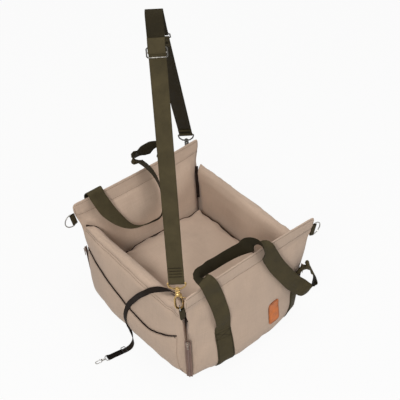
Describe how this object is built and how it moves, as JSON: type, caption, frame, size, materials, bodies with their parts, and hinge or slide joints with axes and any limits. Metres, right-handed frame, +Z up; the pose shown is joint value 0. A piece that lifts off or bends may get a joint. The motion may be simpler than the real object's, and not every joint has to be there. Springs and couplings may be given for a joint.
{
  "type": "dog car seat",
  "caption": "Open padded cloth seat for a small dog in a car, with a thick cushion, zipped corners, carry handles, D-rings, a clipped shoulder strap and a safety tether.",
  "frame": {"origin": "centre of the base panel's underside, on the ground", "axes": "+Z up, -Y towards the front end wall with the label, -X towards the side wall that the tether hangs over"},
  "size_m": [0.6393, 0.5993, 1.051],
  "materials": {
    "cloth": "plain weave, matt",
    "underside": "coarse weave, matt",
    "board": "stiff board, matt",
    "foam": "open foam, matt",
    "webbing": "close woven webbing",
    "tether": "close woven webbing",
    "leather": "smooth, satin",
    "tape": "woven zip tape",
    "zinc": "plated, satin",
    "steel": "plated, bright",
    "gunmetal": "dark plated, satin",
    "brass": "plated, bright",
    "black": "moulded, satin"
  },
  "bodies": {
    "seat": {"front_wall": "cloth", "back_wall": "cloth", "left_wall": "cloth", "right_wall": "cloth", "seat_cushion": "cloth", "left_pocket": "cloth", "right_pocket": "cloth", "base_panel": "underside", "base_board": "board", "booster_foam": "foam", "shoulder_strap": "webbing", "strap_short_end": "webbing", "front_handle_loop": "webbing", "back_handle_loop": "webbing", "front_handle_left_run": "webbing", "front_handle_right_run": "webbing", "back_handle_left_run": "webbing", "back_handle_right_run": "webbing", "tether_strap": "tether", "tether_anchor": "tether", "label_patch": "leather", "strap_adjuster": "gunmetal", "strap_loop_ring": "gunmetal", "rear_hook_eye": "gunmetal", "front_hook_eye": "brass", "tether_hook_eye": "steel", "tether_adjuster": "black", "front_left_ring_tab": "webbing", "front_left_zip_tape": "tape", "front_left_zip_coil": "tape", "front_right_ring_tab": "webbing", "front_right_zip_tape": "tape", "front_right_zip_coil": "tape", "back_left_ring_tab": "webbing", "back_left_zip_tape": "tape", "back_left_zip_coil": "tape", "back_right_ring_tab": "webbing", "back_right_zip_tape": "tape", "back_right_zip_coil": "tape"},
    "front_left_ring": {"front_left_d_ring": "steel"},
    "front_left_slider": {"front_left_zip_slider": "zinc"},
    "front_left_pull": {"front_left_zip_pull": "zinc"},
    "front_right_ring": {"front_right_d_ring": "steel"},
    "front_right_slider": {"front_right_zip_slider": "zinc"},
    "front_right_pull": {"front_right_zip_pull": "zinc"},
    "back_left_ring": {"back_left_d_ring": "steel"},
    "back_left_slider": {"back_left_zip_slider": "zinc"},
    "back_left_pull": {"back_left_zip_pull": "zinc"},
    "back_right_ring": {"back_right_d_ring": "steel"},
    "back_right_slider": {"back_right_zip_slider": "zinc"},
    "back_right_pull": {"back_right_zip_pull": "zinc"},
    "front_hook": {"front_hook_body": "brass"},
    "front_gate": {"front_hook_gate": "brass"},
    "rear_hook": {"rear_hook_body": "gunmetal"},
    "rear_gate": {"rear_hook_gate": "gunmetal"},
    "tether_hook": {"tether_hook_body": "steel"},
    "tether_gate": {"tether_hook_gate": "steel"}
  },
  "joints": [
    {"name": "front_left_ring_swing", "type": "hinge", "parent": "seat", "child": "front_left_ring", "pos_m": [-0.23679, -0.234, 0.3104], "axis": [-0.1331, -0.0383, 0.9904], "range_deg": [-8, 8]},
    {"name": "front_left_zip_slide", "type": "slide", "parent": "seat", "child": "front_left_slider", "axis": [0.0702, 0.0385, -0.9968], "range_m": [0, 0.15]},
    {"name": "front_left_pull_swing", "type": "hinge", "parent": "front_left_slider", "child": "front_left_pull", "pos_m": [-0.21716, -0.23402, 0.1776], "axis": [-0.7069, 0.7069, -0.0224], "range_deg": [0, 150]},
    {"name": "front_right_ring_swing", "type": "hinge", "parent": "seat", "child": "front_right_ring", "pos_m": [0.24456, -0.23398, 0.30977], "axis": [0.186, -0.038, 0.9818], "range_deg": [-100, 100]},
    {"name": "front_right_zip_slide", "type": "slide", "parent": "seat", "child": "front_right_slider", "axis": [-0.0702, 0.0385, -0.9968], "range_m": [0, 0.15]},
    {"name": "front_right_pull_swing", "type": "hinge", "parent": "front_right_slider", "child": "front_right_pull", "pos_m": [0.21721, -0.23408, 0.1776], "axis": [-0.7069, -0.7069, 0.0224], "range_deg": [0, 150]},
    {"name": "back_left_ring_swing", "type": "hinge", "parent": "seat", "child": "back_left_ring", "pos_m": [-0.24489, 0.23397, 0.30963], "axis": [-0.1976, 0.0379, 0.9796], "range_deg": [-100, 100]},
    {"name": "back_left_zip_slide", "type": "slide", "parent": "seat", "child": "back_left_slider", "axis": [0.0702, -0.0385, -0.9968], "range_m": [0, 0.15]},
    {"name": "back_left_pull_swing", "type": "hinge", "parent": "back_left_slider", "child": "back_left_pull", "pos_m": [-0.21729, 0.23415, 0.1776], "axis": [0.7069, 0.7069, 0.0224], "range_deg": [0, 150]},
    {"name": "back_right_ring_swing", "type": "hinge", "parent": "seat", "child": "back_right_ring", "pos_m": [0.20881, 0.24662, 0.26785], "axis": [0, 0.0189, 0.9998], "range_deg": [-8, 8]},
    {"name": "back_right_zip_slide", "type": "slide", "parent": "seat", "child": "back_right_slider", "axis": [-0.0702, -0.0385, -0.9968], "range_m": [0, 0.15]},
    {"name": "back_right_pull_swing", "type": "hinge", "parent": "back_right_slider", "child": "back_right_pull", "pos_m": [0.21715, 0.23401, 0.1776], "axis": [0.7069, -0.7069, -0.0224], "range_deg": [0, 150]},
    {"name": "front_hook_swivel", "type": "hinge", "parent": "seat", "child": "front_hook", "pos_m": [-0.23221, -0.21618, 0.38472], "axis": [-0.0544, 0.0485, 0.9973], "range_deg": [-20, 20]},
    {"name": "front_gate_open", "type": "hinge", "parent": "front_hook", "child": "front_gate", "pos_m": [-0.22577, -0.22056, 0.36302], "axis": [0.535, 0.8447, -0.0119], "range_deg": [0, 28], "stiffness_Nm_per_rad": 0.02, "springref_deg": -17.19},
    {"name": "rear_hook_swivel", "type": "hinge", "parent": "seat", "child": "rear_hook", "pos_m": [0.20403, 0.26804, 0.34005], "axis": [-0.0544, 0.0485, 0.9973], "range_deg": [-20, 20]},
    {"name": "rear_gate_open", "type": "hinge", "parent": "rear_hook", "child": "rear_gate", "pos_m": [0.2114, 0.26751, 0.31822], "axis": [-0.0853, 0.9949, -0.053], "range_deg": [0, 28], "stiffness_Nm_per_rad": 0.02, "springref_deg": -17.19},
    {"name": "tether_hook_swivel", "type": "hinge", "parent": "seat", "child": "tether_hook", "pos_m": [-0.33986, -0.0136, 0.00404], "axis": [0.9854, -0.1701, 0], "continuous": true},
    {"name": "tether_gate_open", "type": "hinge", "parent": "tether_hook", "child": "tether_gate", "pos_m": [-0.34895, -0.00939, 0.00404], "axis": [0, 0, 1], "range_deg": [0, 28], "stiffness_Nm_per_rad": 0.02, "springref_deg": -17.19}
  ]
}
